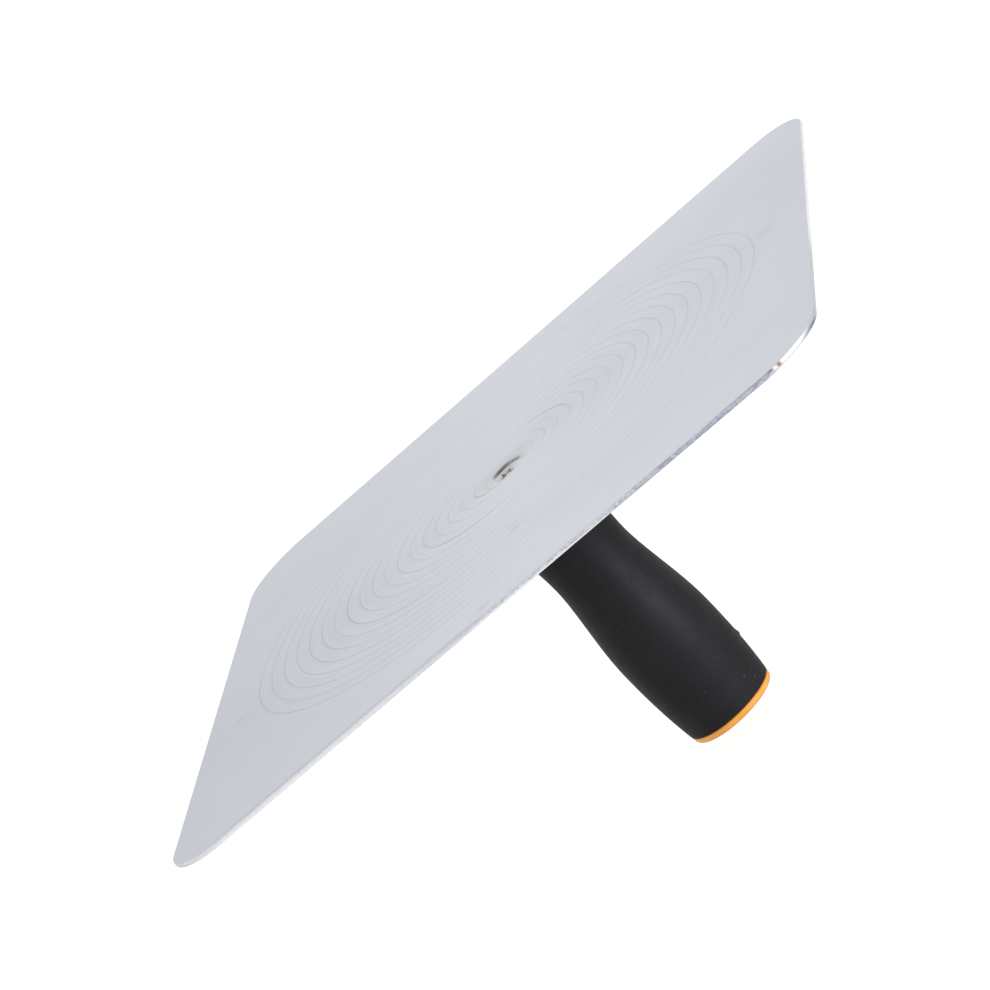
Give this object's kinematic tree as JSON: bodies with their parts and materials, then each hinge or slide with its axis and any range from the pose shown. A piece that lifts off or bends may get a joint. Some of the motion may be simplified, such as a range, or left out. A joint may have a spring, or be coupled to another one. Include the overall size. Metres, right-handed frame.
{
  "type": "plasterer's hawk",
  "caption": "Square light-alloy hawk board with turned key rings and a sunk centre screw, on an upright soft-grip handle with an end cap.",
  "frame": {"origin": "centre of the board's working face", "axes": "+Z out of the working face, so the handle points along -Z; +X and +Y parallel to the board's sides"},
  "size_m": [0.3, 0.3, 0.1283],
  "materials": {
    "alloy_sheet": "satin rolled sheet with fine straight brushing and turned rings",
    "zinc_steel": "bright zinc plate",
    "screw_zinc": "zinc plate with a faint yellow-green tint in the recess",
    "spring_steel": "dull grey spring steel",
    "core_plastic": "moulded, fine grain",
    "grip_rubber": "soft-touch, very fine matte grain",
    "cap_plastic": "satin orange plastic"
  },
  "bodies": {
    "board": {"plate": "alloy_sheet", "seat_washer": "zinc_steel"},
    "screw": {"centre_screw": "screw_zinc"},
    "handle": {"spring_washer": "spring_steel", "hex_nut": "zinc_steel", "handle_core": "core_plastic", "grip_sleeve": "grip_rubber", "end_cap": "cap_plastic"}
  },
  "joints": [
    {"name": "screw_turn", "type": "hinge", "parent": "board", "child": "screw", "pos_m": [0, 0, 0], "axis": [0, 0, 1], "range_deg": [0, 2160]},
    {"name": "handle_draw", "type": "slide", "parent": "board", "child": "handle", "axis": [0, 0, -1], "range_m": [0, 0.0075]}
  ],
  "couplings": [
    {"joint": "screw_turn", "follows": "handle_draw", "rad_per_m": 5026.5}
  ]
}
